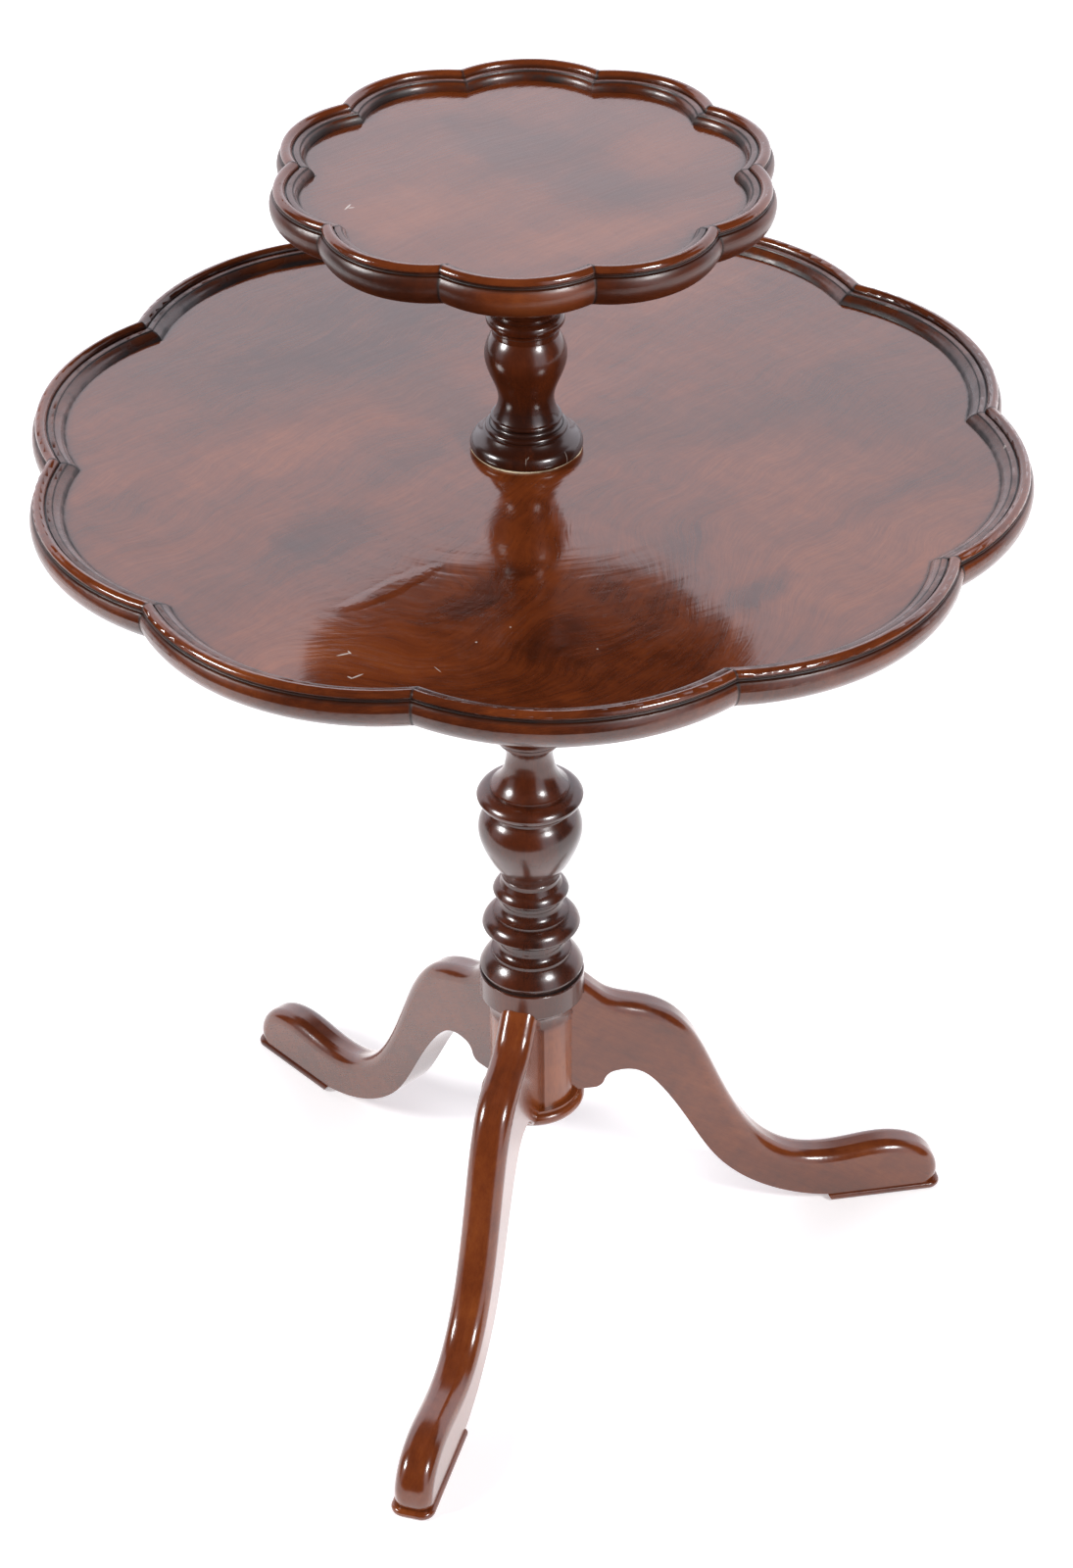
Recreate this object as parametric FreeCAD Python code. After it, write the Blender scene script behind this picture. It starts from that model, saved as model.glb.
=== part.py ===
import FreeCAD, Part
import math
import os

# Two-tier mahogany table on a turned pillar with three sawn cabriole legs.
# Millimetres, +Z up. The origin is on the floor, on the pillar's axis.
# The upper stage screws into the lower pillar through the lower tray.

# --- heights above the floor -------------------------------------------------
LEG_ROOT_BOTTOM = 129.5         # underside of the legs where they meet the pillar
LOWER_DISH_HEIGHT = 628.2       # flat of the lower tray
TIER_SPACING = 177.5            # from there up to the flat of the upper tray

# --- trays -------------------------------------------------------------------
LOBES = 10
TRAY_THICKNESS = 27.0           # rim crest to underside
LOWER_TRAY_RADIUS = 305.0       # to the middle of a lobe
LOWER_LOBE_RADIUS = 150.0
LOWER_TRAY_TURN = -102.8        # direction of one cusp, degrees
LOWER_DISH_DEPTH = 9.2
LOWER_DISH_INSET = 20.0         # from the outermost edge to the flat
UPPER_TRAY_RADIUS = 148.7
UPPER_LOBE_RADIUS = 65.6
UPPER_TRAY_TURN = -109.9
UPPER_DISH_DEPTH = 9.0
UPPER_DISH_INSET = 16.8

# --- rim moulding, measured in from the outermost edge and down from the crest -
BEAD_INSET = 2.5
BEAD_WIDTH = 6.8
QUIRK_WIDTH = 1.0
QUIRK_DEPTH = 0.8
STEP_INSET = 13.8               # edge of the hollow band inside the bead
STEP_DROP = 0.8
NIB_INSET = 3.2                 # thin fillet under the bead, outside
NIB_HEIGHT = 1.2
NIB_DROP = 4.7
OVOLO_TOP_INSET = 1.7
OVOLO_TOP_DROP = 6.2
WIDEST_DROP = 11.3              # where the edge is widest
RIM_BACKING = 3.0               # flat carried past the moulding

# --- lower pillar ------------------------------------------------------------
SHAFT_RADIUS = 28.6             # plain length that the legs are housed in
SHAFT_LENGTH = 67.5
DRUM_RADIUS = 34.9
PILLAR_NECK_RADIUS = 15.9
BARREL_FOOT_RADIUS = 18.6
BARREL_HEAD_RADIUS = 15.6
LOWER_TENON_RADIUS = 15.0

# --- upper pillar ------------------------------------------------------------
FOOT_RADIUS = 34.1
UPPER_NECK_RADIUS = 15.6
UPPER_TENON_RADIUS = 11.0

# --- legs --------------------------------------------------------------------
LEG_DIRECTIONS = {"front": -106.3, "right": 9.5, "left": 132.5}
LEG_THICKNESS = 25.6
LEG_REACH = 288.6               # pillar axis to the toe
FOOT_LENGTH = 78.6              # heel to toe
LEG_ROOT_RISE = 21.0            # top of a leg's root over the foot of the drum
LEG_TOP_ROUNDING = 9.0
SEAT_FLAT_DEPTH = 4.4           # flat sunk in the shaft that a leg butts on
DOVETAIL_STOP = 9.5             # shaft left whole over the dovetails
DOVETAIL_DEPTH = 11.0
DOVETAIL_NECK = 10.0
DOVETAIL_WIDTH = 15.0
PAD_THICKNESS = 5.4
PAD_PROUD = 1.9
PAD_CORNER_RADIUS = 9.0
PAD_HEEL_OVERHANG = 1.5
PAD_HEEL_BEVEL = 4.0
PAD_NOSING = 2.6
PIN_RADIUS = 0.9
PIN_LENGTH = 16.0
PIN_SPACING = 44.0
PIN_RECESS = 0.6

# --- base cap ----------------------------------------------------------------
CAP_RADIUS = 35.2
CAP_THICKNESS = 12.4

# --- bearers and screws ------------------------------------------------------
LOWER_BEARER_RADIUS = 82.0
LOWER_BEARER_THICKNESS = 18.0
UPPER_BEARER_RADIUS = 46.0
UPPER_BEARER_THICKNESS = 14.0
BEARER_EDGE_RADIUS = 7.0
SCREW_RADIUS = 2.1
SCREW_HEAD_RADIUS = 4.2
SCREW_HEAD_HEIGHT = 2.9
SCREW_SLOT_WIDTH = 1.1
SCREW_SLOT_DEPTH = 1.2
CAP_SCREW_LENGTH = 34.0
CAP_SCREW_CIRCLE = 20.0
LOWER_SCREW_COUNT = 6
LOWER_SCREW_EDGE = 22.0         # screw to the bearer's edge
UPPER_SCREW_COUNT = 4
UPPER_SCREW_EDGE = 13.0
SCREW_GRIP = 12.0               # length of a bearer screw inside its tray
WEDGE_THICKNESS = 2.4
WEDGE_LENGTH = 11.0

# --- joining screw between the stages ----------------------------------------
STUD_RADIUS = 4.5               # mean radius of an M10 thread
STUD_IN_PILLAR = 40.0
STUD_ENGAGEMENT = 20.0
INSERT_RADIUS = 7.0
INSERT_LENGTH = 22.0
INSERT_SETBACK = 1.5            # insert below the end of the tenon
TENON_SETBACK = 1.0             # tenon's end below the lower dish
WASHER_THICKNESS = 1.1
WASHER_RADIUS = 33.6
WASHER_BORE_RADIUS = 17.0

# --- clearances --------------------------------------------------------------
THREAD_CLEARANCE = 0.05
GLUE_GAP = 0.1                  # dovetails, tenons and scribed shoulders
SCREW_GAP = 0.05
STUD_SIDE_GAP = 1.0
STUD_END_GAP = 3.0

Z = FreeCAD.Vector(0, 0, 1)
ORIGIN = FreeCAD.Vector(0, 0, 0)
QUARTER_ROUND = (math.sqrt(2) - 1) / 2      # rise of a quarter circle as a share of its chord
CUTTER_SIZE = 400.0             # larger than any piece that is trimmed


def point(x, z, y=0.0):
    return FreeCAD.Vector(x, y, z)


class Outline:
    """A closed outline in the XZ plane, drawn point by point."""

    def __init__(self, x, z):
        self.start = point(x, z)
        self.here = self.start
        self.edges = []

    def line(self, x, z):
        there = point(x, z)
        self.edges.append(Part.LineSegment(self.here, there).toShape())
        self.here = there
        return self

    def arc(self, x, z, bulge):
        """An arc to (x, z). Going up, a positive bulge swells away from the axis.
        The bulge is the arc's rise as a share of its chord."""
        there = point(x, z)
        chord = there - self.here
        middle = (self.here + there) * 0.5 + point(chord.z, -chord.x) * bulge
        self.edges.append(Part.Arc(self.here, middle, there).toShape())
        self.here = there
        return self

    def curve(self, points):
        """A smooth curve through the points, from where the outline has come to."""
        path = [self.here] + [point(x, z) for x, z in points]
        spline = Part.BSplineCurve()
        spline.interpolate(path)
        self.edges.append(spline.toShape())
        self.here = path[-1]
        return self

    def face(self):
        if self.here.distanceToPoint(self.start) > 1e-6:
            self.line(self.start.x, self.start.z)
        return Part.Face(Part.Wire(self.edges))


def turned(outline):
    """Turn an outline into a solid of revolution about the Z axis."""
    return outline.face().revolve(ORIGIN, Z, 360)


def fused(shapes):
    return shapes[0].multiFuse(shapes[1:]).removeSplitter()


def around(shape, degrees):
    copy = shape.copy()
    copy.rotate(ORIGIN, Z, degrees)
    return copy


def ring_of(shape, count, first):
    return [around(shape, first + 360.0 / count * k) for k in range(count)]


def cylinder(radius, bottom, top, x=0.0, y=0.0):
    return Part.makeCylinder(radius, top - bottom, FreeCAD.Vector(x, y, bottom))


# --- trays -------------------------------------------------------------------

def rim_outline(lobe_radius, dish_inset, dish_depth, crest, backing_inset):
    """Section of the rim. x is the distance from a lobe's own axis."""
    def at(inset, drop):
        return lobe_radius - inset, crest - drop

    bead_radius = BEAD_WIDTH / 2
    bead_inside = BEAD_INSET + BEAD_WIDTH
    under_radius = TRAY_THICKNESS - WIDEST_DROP
    outline = Outline(*at(backing_inset, TRAY_THICKNESS))
    outline.line(*at(under_radius, TRAY_THICKNESS))
    outline.arc(*at(0, WIDEST_DROP), QUARTER_ROUND)
    outline.arc(*at(OVOLO_TOP_INSET, OVOLO_TOP_DROP), 0.08)
    outline.line(*at(NIB_INSET, NIB_DROP + NIB_HEIGHT))
    outline.arc(*at(NIB_INSET, NIB_DROP), 0.5)
    outline.line(*at(BEAD_INSET + 0.7, bead_radius + 0.6))
    outline.arc(*at(BEAD_INSET, bead_radius - 0.4), 0.12)
    outline.arc(*at(bead_inside - bead_radius, 0), QUARTER_ROUND)
    outline.arc(*at(bead_inside, bead_radius), QUARTER_ROUND)
    outline.line(*at(bead_inside, bead_radius + QUIRK_DEPTH))
    outline.line(*at(bead_inside + QUIRK_WIDTH, bead_radius + QUIRK_DEPTH))
    outline.line(*at(bead_inside + QUIRK_WIDTH, bead_radius))
    outline.arc(*at(STEP_INSET, bead_radius + 0.2), 0.05)
    outline.line(*at(STEP_INSET + 0.3, bead_radius + STEP_DROP))
    outline.arc(*at(dish_inset, dish_depth), 0.12)
    outline.line(*at(backing_inset, dish_depth))
    return outline


def make_tray(radius, lobe_radius, turn, dish_inset, dish_depth, dish_height):
    """A lobed dish cut from one board, its moulding mitred at each cusp."""
    crest = dish_height + dish_depth
    underside = crest - TRAY_THICKNESS
    lobe_distance = radius - lobe_radius
    backing = max(dish_inset, TRAY_THICKNESS - WIDEST_DROP) + RIM_BACKING
    lobe_axis = FreeCAD.Vector(lobe_distance, 0, 0)
    half = math.radians(180.0 / LOBES)
    # an arc of the lobe long enough to pass both mitres
    half_chord = 1.3 * radius * math.sin(half)
    sweep = 2 * math.degrees(math.asin(min(0.95, half_chord / lobe_radius)))

    section = rim_outline(lobe_radius, dish_inset, dish_depth, crest, backing).face()
    section.translate(lobe_axis)
    rim = section.revolve(lobe_axis, Z, sweep)
    rim.rotate(lobe_axis, Z, -sweep / 2)

    reach = 2 * radius
    corners = [
        ORIGIN,
        FreeCAD.Vector(reach * math.cos(half), -reach * math.sin(half), 0),
        FreeCAD.Vector(reach * math.cos(half), reach * math.sin(half), 0),
    ]
    wedge = Part.Face(Part.makePolygon(corners + [ORIGIN])).extrude(FreeCAD.Vector(0, 0, 2 * crest))
    core = Part.makeCylinder(lobe_radius - backing, dish_height - underside,
                             FreeCAD.Vector(lobe_distance, 0, underside))
    heart = Part.makeCylinder(lobe_distance, dish_height - underside, point(0, underside))
    slice_of_tray = fused([rim, core, heart]).common(wedge)
    return fused(ring_of(slice_of_tray, LOBES, turn + 180.0 / LOBES))


# --- fastenings --------------------------------------------------------------

def screw_blank(length, gap=0.0):
    """A countersunk wood screw standing on its head at z = 0, without its slot."""
    outline = Outline(0, 0)
    outline.line(SCREW_HEAD_RADIUS + gap, 0)
    outline.line(SCREW_RADIUS + gap, SCREW_HEAD_HEIGHT)
    outline.line(SCREW_RADIUS + gap, 0.72 * length)
    outline.line(0.25 * SCREW_RADIUS + gap, length + gap)
    outline.line(0, length + gap)
    return turned(outline)


def make_screw(length, distance):
    screw = screw_blank(length)
    slot = Part.makeBox(4 * SCREW_HEAD_RADIUS, SCREW_SLOT_WIDTH, SCREW_SLOT_DEPTH,
                        FreeCAD.Vector(-2 * SCREW_HEAD_RADIUS, -SCREW_SLOT_WIDTH / 2, 0))
    screw = screw.cut(slot)
    screw.translate(FreeCAD.Vector(distance, 0, 0))
    return screw


def make_screw_hole(length, distance):
    hole = screw_blank(length, SCREW_GAP)
    hole.translate(FreeCAD.Vector(distance, 0, 0))
    return hole


def raised(shapes, height):
    for shape in shapes:
        shape.translate(point(0, height))
    return shapes


# --- worked-out heights and distances ----------------------------------------

upper_dish_height = LOWER_DISH_HEIGHT + TIER_SPACING
lower_underside = LOWER_DISH_HEIGHT + LOWER_DISH_DEPTH - TRAY_THICKNESS
upper_underside = upper_dish_height + UPPER_DISH_DEPTH - TRAY_THICKNESS
lower_shoulder = lower_underside - LOWER_BEARER_THICKNESS
upper_shoulder = upper_underside - UPPER_BEARER_THICKNESS
tenon_end = LOWER_DISH_HEIGHT - TENON_SETBACK
insert_top = tenon_end - INSERT_SETBACK
foot_bottom = LOWER_DISH_HEIGHT + WASHER_THICKNESS
stud_bottom = insert_top - STUD_ENGAGEMENT
stud_top = foot_bottom + STUD_IN_PILLAR
cap_bottom = LEG_ROOT_BOTTOM - CAP_THICKNESS
drum_bottom = LEG_ROOT_BOTTOM + SHAFT_LENGTH
leg_seat = SHAFT_RADIUS - SEAT_FLAT_DEPTH
heel_reach = LEG_REACH - FOOT_LENGTH


# --- lower pillar ------------------------------------------------------------

def lower_pillar_outline(gap=0.0):
    """The turned section, from the foot up. gap grows it sideways for scribing."""
    base = drum_bottom
    top = lower_shoulder
    drum = DRUM_RADIUS + gap
    o = Outline(0, LEG_ROOT_BOTTOM)
    o.line(SHAFT_RADIUS + gap, LEG_ROOT_BOTTOM)
    o.line(SHAFT_RADIUS + gap, base)
    o.arc(drum - 0.4, base + 14.5, -0.2)
    o.arc(drum, base + 15.5, 0.1)
    # drum and the groove over it
    o.line(drum, base + 32.4)
    o.arc(drum - 0.9, base + 33.3, 0.2)
    o.line(DRUM_RADIUS - 2.7, base + 33.4)
    o.line(DRUM_RADIUS - 2.7, base + 35.3)
    # lowest ring, its fillet, the hollow and the neck over it
    o.arc(34.3, base + 38.4, 0.2)
    o.arc(27.2, base + 48.0, 0.06)
    o.line(26.4, base + 48.4)
    o.line(26.4, base + 50.8)
    o.line(25.6, base + 51.0)
    o.arc(21.4, base + 58.0, -0.2)
    o.line(21.4, base + 62.4)
    # second ring
    o.arc(28.6, base + 68.8, -0.1)
    o.arc(32.4, base + 72.2, 0.2)
    o.arc(26.0, base + 79.6, 0.12)
    o.line(24.9, base + 79.9)
    o.line(24.9, base + 82.2)
    o.line(24.1, base + 82.4)
    o.arc(19.2, base + 90.6, -0.2)
    o.line(19.2, base + 93.5)
    # third, smallest ring
    o.arc(22.2, base + 96.2, -0.1)
    o.arc(25.0, base + 99.2, 0.2)
    o.arc(20.6, base + 104.4, 0.1)
    o.line(18.9, base + 107.6)
    o.line(18.9, base + 109.0)
    o.line(19.5, base + 109.2)
    o.line(19.5, base + 111.2)
    o.line(19.2, base + 111.6)
    # vase
    o.curve([(21.5, base + 117.2), (24.9, base + 122.4), (29.2, base + 131.0), (33.1, base + 142.0),
             (34.0, base + 149.5), (32.3, base + 157.0), (28.2, base + 163.0)])
    o.line(27.0, base + 164.8)
    o.line(27.0, base + 168.4)
    # fourth ring, fillet and the long hollow to the neck
    o.line(28.4, base + 169.0)
    o.arc(34.5, base + 174.9, 0.2)
    o.arc(27.0, base + 180.0, 0.14)
    o.line(25.8, base + 180.2)
    o.line(25.8, base + 182.8)
    o.line(24.8, base + 183.2)
    o.arc(PILLAR_NECK_RADIUS, base + 200.0, -0.1)
    o.arc(PILLAR_NECK_RADIUS + 2.4, base + 217.2, -0.1)
    o.line(PILLAR_NECK_RADIUS + 4.7, base + 217.6)
    o.line(PILLAR_NECK_RADIUS + 4.7, base + 220.0)
    o.arc(PILLAR_NECK_RADIUS + 4.7, base + 227.0, 0.42)
    o.line(PILLAR_NECK_RADIUS + 3.9, base + 227.4)
    o.line(PILLAR_NECK_RADIUS + 3.9, base + 229.6)
    # tapered barrel: the only length that follows the height of the tray
    barrel_foot = base + 236.0
    barrel_head = top - 38.0
    o.arc(BARREL_FOOT_RADIUS, barrel_foot, -0.2)
    o.curve([(BARREL_FOOT_RADIUS + 0.3, barrel_foot + 0.35 * (barrel_head - barrel_foot)),
             (BARREL_HEAD_RADIUS, barrel_head)])
    # necking ring and capital under the bearer
    o.line(BARREL_HEAD_RADIUS + 1.6, barrel_head + 0.5)
    o.line(BARREL_HEAD_RADIUS + 1.6, barrel_head + 2.3)
    o.arc(BARREL_HEAD_RADIUS + 1.6, barrel_head + 8.9, 0.42)
    o.line(BARREL_HEAD_RADIUS + 0.9, barrel_head + 9.3)
    o.line(BARREL_HEAD_RADIUS + 0.9, barrel_head + 13.0)
    o.arc(BARREL_HEAD_RADIUS + 8.4, top - 6.4, -0.2)
    o.line(BARREL_HEAD_RADIUS + 9.6, top - 6.0)
    o.arc(BARREL_HEAD_RADIUS + 9.6, top, 0.3)
    o.line(LOWER_TENON_RADIUS, top)
    o.line(LOWER_TENON_RADIUS, tenon_end)
    o.line(0, tenon_end)
    return o


def dovetail(grow=0.0, extra_below=0.0):
    """One tail on the leg's root, widening towards the pillar's axis."""
    inner = leg_seat - DOVETAIL_DEPTH - grow
    neck = DOVETAIL_NECK / 2 + grow
    wide = DOVETAIL_WIDTH / 2 + grow
    bottom = LEG_ROOT_BOTTOM - extra_below
    height = SHAFT_LENGTH - DOVETAIL_STOP + grow + extra_below
    corners = [point(inner, bottom, -wide), point(leg_seat, bottom, -neck),
               point(leg_seat, bottom, neck), point(inner, bottom, wide)]
    return Part.Face(Part.makePolygon(corners + corners[:1])).extrude(point(0, height))


def make_lower_pillar(screw_holes):
    """The turning, with a flat and a dovetail socket for each leg."""
    wide = 4 * SHAFT_RADIUS
    flat = Part.makeBox(wide, wide, SHAFT_LENGTH, FreeCAD.Vector(leg_seat, -wide / 2, LEG_ROOT_BOTTOM))
    cutters = list(screw_holes)
    for angle in LEG_DIRECTIONS.values():
        cutters.append(around(flat, angle))
        cutters.append(around(dovetail(GLUE_GAP, 1.0), angle))
    cutters.append(cylinder(INSERT_RADIUS, insert_top - INSERT_LENGTH, tenon_end))
    cutters.append(cylinder(STUD_RADIUS + STUD_SIDE_GAP, stud_bottom - STUD_END_GAP, insert_top))
    return turned(lower_pillar_outline()).cut(Part.Compound(cutters))


def cap_screw_angles():
    """Midway between neighbouring legs."""
    angles = sorted(LEG_DIRECTIONS.values())
    following = angles[1:] + [angles[0] + 360.0]
    return [(a + b) / 2 for a, b in zip(angles, following)]


# --- legs --------------------------------------------------------------------

def leg_blank():
    """A leg sawn to its side outline, its top arrises rounded, not yet scribed."""
    root = leg_seat - 4.0
    toe = LEG_REACH
    instep = toe - 74.0
    sole = PAD_THICKNESS
    knee = drum_bottom + LEG_ROOT_RISE
    notch = LEG_ROOT_BOTTOM
    notch_end = 56.0

    def under(share):
        return notch_end + share * (heel_reach - notch_end)

    def over(share):
        return leg_seat + share * (instep - leg_seat)

    outline = Outline(root, notch)
    # underside: a short flat, a quarter round, then the arch down to the heel
    outline.line(notch_end - 14.8, notch)
    outline.arc(notch_end - 8.8, notch + 5.6, 0.16)
    outline.arc(notch_end, notch + 12.4, -0.16)
    outline.curve([(under(0.094), notch + 10.6), (under(0.198), notch - 5.4), (under(0.336), notch - 42.0),
                   (under(0.486), notch - 80.6), (under(0.662), sole + 19.5), (under(6 / 7), sole + 5.2),
                   (heel_reach, sole)])
    outline.line(toe - 1.5, sole)
    # toe and the top line back to the pillar
    outline.curve([(toe, sole + 6.5), (toe - 7.5, sole + 25.1), (toe - 19.0, sole + 33.2),
                   (toe - 43.0, sole + 37.9), (instep, sole + 35.2), (over(0.850), sole + 39.0),
                   (over(0.722), sole + 56.2), (over(0.619), knee - 127.0), (over(0.527), knee - 86.6),
                   (over(0.447), knee - 54.3), (over(0.372), knee - 37.2), (over(0.263), knee - 25.8),
                   (over(0.146), knee - 16.6), (over(0.054), knee), (root, knee + 6.0)])
    face = outline.face()
    face.translate(FreeCAD.Vector(0, -LEG_THICKNESS / 2, 0))
    blank = face.extrude(FreeCAD.Vector(0, LEG_THICKNESS, 0))
    top_edges = []
    for edge in blank.Edges:
        box = edge.BoundBox
        follows_a_side = box.YLength < 1e-3 and box.XLength > 1.0
        if follows_a_side and box.ZMax > knee:
            top_edges.append(edge)
    return blank.makeFillet(LEG_TOP_ROUNDING, top_edges)


def make_leg(scribe):
    """Cut back to the flat on the shaft and scribed to the drum, with its dovetail."""
    shaft_side = Part.makeBox(CUTTER_SIZE, CUTTER_SIZE, CUTTER_SIZE,
                              FreeCAD.Vector(leg_seat - CUTTER_SIZE, -CUTTER_SIZE / 2, 0))
    return fused([leg_blank().cut(shaft_side).cut(scribe), dovetail()])


def make_foot_pad():
    """A thin nosed sole, planted under the foot and bevelled off at the heel."""
    heel = heel_reach - PAD_HEEL_OVERHANG
    toe = LEG_REACH + PAD_PROUD
    width = LEG_THICKNESS + 2 * PAD_PROUD
    pad = Part.makeBox(toe - heel, width, PAD_THICKNESS, FreeCAD.Vector(heel, -width / 2, 0))
    corners = [e for e in pad.Edges if e.BoundBox.ZLength > 0.9 * PAD_THICKNESS and e.BoundBox.XMax > heel + 1]
    pad = pad.makeFillet(PAD_CORNER_RADIUS, corners)
    rims = [e for e in pad.Edges if e.BoundBox.ZLength < 1e-3 and e.BoundBox.XMax > heel + 1]
    pad = pad.makeFillet(PAD_NOSING, rims)
    corners = [point(heel - 1, -1, -width), point(heel - 1, PAD_THICKNESS, -width),
               point(heel, PAD_THICKNESS, -width), point(heel + PAD_HEEL_BEVEL, -1, -width)]
    bevel = Part.Face(Part.makePolygon(corners + corners[:1])).extrude(FreeCAD.Vector(0, 2 * width, 0))
    return pad.cut(bevel)


def pin_places():
    middle = (heel_reach + LEG_REACH) / 2
    return [middle - PIN_SPACING / 2, middle + PIN_SPACING / 2]


def make_pins():
    """Brass pins up through the pad into the foot, their heads clear of the floor."""
    return [cylinder(PIN_RADIUS, PIN_RECESS, PIN_RECESS + PIN_LENGTH, x) for x in pin_places()]


def make_pin_holes():
    return [cylinder(PIN_RADIUS + SCREW_GAP, -1, PIN_RECESS + PIN_LENGTH + SCREW_GAP, x)
            for x in pin_places()]


# --- base cap ----------------------------------------------------------------

def make_base_cap():
    """A turned disc that closes the dovetail sockets from below."""
    o = Outline(0, cap_bottom)
    o.line(CAP_RADIUS - 6.5, cap_bottom)
    o.arc(CAP_RADIUS, cap_bottom + 5.6, 0.2)
    o.arc(CAP_RADIUS - 2.6, LEG_ROOT_BOTTOM - 2.6, 0.16)
    o.line(CAP_RADIUS - 3.4, LEG_ROOT_BOTTOM - 2.4)
    o.line(CAP_RADIUS - 3.4, LEG_ROOT_BOTTOM)
    o.line(0, LEG_ROOT_BOTTOM)
    return turned(o)


# --- upper pillar ------------------------------------------------------------

def upper_pillar_outline():
    base = foot_bottom
    top = upper_shoulder
    o = Outline(0, base)
    # foot with a sloping top, roll and hollow
    o.line(FOOT_RADIUS - 0.9, base)
    o.arc(FOOT_RADIUS, base + 3.2, 0.12)
    o.arc(31.0, base + 8.1, 0.12)
    o.arc(26.1, base + 12.3, -0.05)
    o.line(24.7, base + 13.0)
    o.arc(23.2, base + 16.0, 0.28)
    o.line(22.5, base + 16.2)
    o.arc(20.6, base + 19.2, -0.45)
    # lip, waist and vase
    o.arc(20.6, base + 22.0, 0.36)
    o.line(19.9, base + 22.2)
    o.curve([(18.0, base + 26.4), (16.8, base + 33.4), (18.2, base + 41.0), (21.9, base + 50.5),
             (24.75, base + 63.2), (23.6, base + 69.4), (20.0, base + 76.6)])
    o.line(20.1, base + 77.6)
    o.line(20.1, base + 80.0)
    o.line(19.6, base + 80.4)
    # ring under the neck
    o.arc(20.8, base + 83.2, -0.15)
    o.arc(23.4, base + 85.7, 0.2)
    o.arc(20.6, base + 90.2, 0.2)
    o.line(19.2, base + 90.4)
    o.line(19.2, base + 92.4)
    o.line(18.3, base + 92.6)
    neck_foot = base + 98.0
    neck_head = top - 14.0
    o.arc(UPPER_NECK_RADIUS + 0.4, neck_foot, -0.2)
    o.line(UPPER_NECK_RADIUS, neck_head)
    o.arc(UPPER_NECK_RADIUS + 6.2, top - 5.6, -0.2)
    o.line(UPPER_NECK_RADIUS + 7.2, top - 5.2)
    o.arc(UPPER_NECK_RADIUS + 7.2, top, 0.3)
    o.line(UPPER_TENON_RADIUS, top)
    o.line(UPPER_TENON_RADIUS, upper_underside)
    o.line(0, upper_underside)
    return o


def tenon_wedge(grow=0.0):
    """A tapered wedge driven down into the upper tenon."""
    width = 2 * UPPER_TENON_RADIUS - 3.0
    thick = WEDGE_THICKNESS / 2 + grow
    thin = 0.3 * WEDGE_THICKNESS / 2 + grow
    top = upper_underside
    bottom = top - WEDGE_LENGTH - grow
    corners = [point(-width / 2 - grow, bottom, -thin), point(-width / 2 - grow, bottom, thin),
               point(-width / 2 - grow, top, thick), point(-width / 2 - grow, top, -thick)]
    return Part.Face(Part.makePolygon(corners + corners[:1])).extrude(point(width + 2 * grow, 0))


def make_upper_pillar():
    pillar = turned(upper_pillar_outline())
    stud_hole = cylinder(STUD_RADIUS, foot_bottom, stud_top)
    return pillar.cut(Part.Compound([stud_hole, tenon_wedge(GLUE_GAP / 2)]))


# --- bearers -----------------------------------------------------------------

def make_bearer(radius, thickness, bottom, bore):
    """A turned block that spreads the pillar's head under a tray."""
    o = Outline(bore, bottom)
    o.line(radius - BEARER_EDGE_RADIUS, bottom)
    o.arc(radius, bottom + BEARER_EDGE_RADIUS, QUARTER_ROUND)
    o.line(radius, bottom + thickness)
    o.line(bore, bottom + thickness)
    return turned(o)


# --- assembly ----------------------------------------------------------------

nodes = {}

cap_angles = cap_screw_angles()
cap_holes = raised([around(make_screw_hole(CAP_SCREW_LENGTH, CAP_SCREW_CIRCLE), a) for a in cap_angles], cap_bottom)
cap_screws = raised([around(make_screw(CAP_SCREW_LENGTH, CAP_SCREW_CIRCLE), a) for a in cap_angles], cap_bottom)
nodes["lower_pillar"] = make_lower_pillar(cap_holes)
nodes["pillar_base_cap"] = make_base_cap().cut(Part.Compound(cap_holes))
nodes["base_cap_screws"] = Part.Compound(cap_screws)

scribe = turned(lower_pillar_outline(GLUE_GAP)).common(
    cylinder(2 * DRUM_RADIUS, drum_bottom, drum_bottom + 2 * LEG_ROOT_RISE))
leg = make_leg(scribe)
pad = make_foot_pad()
pins = []
for name, angle in LEG_DIRECTIONS.items():
    holes = Part.Compound([around(hole, angle) for hole in make_pin_holes()])
    nodes[name + "_leg"] = around(leg, angle).cut(holes)
    nodes[name + "_foot_pad"] = around(pad, angle).cut(holes)
    pins += [around(pin, angle) for pin in make_pins()]
nodes["foot_pad_pins"] = Part.Compound(pins)

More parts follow.
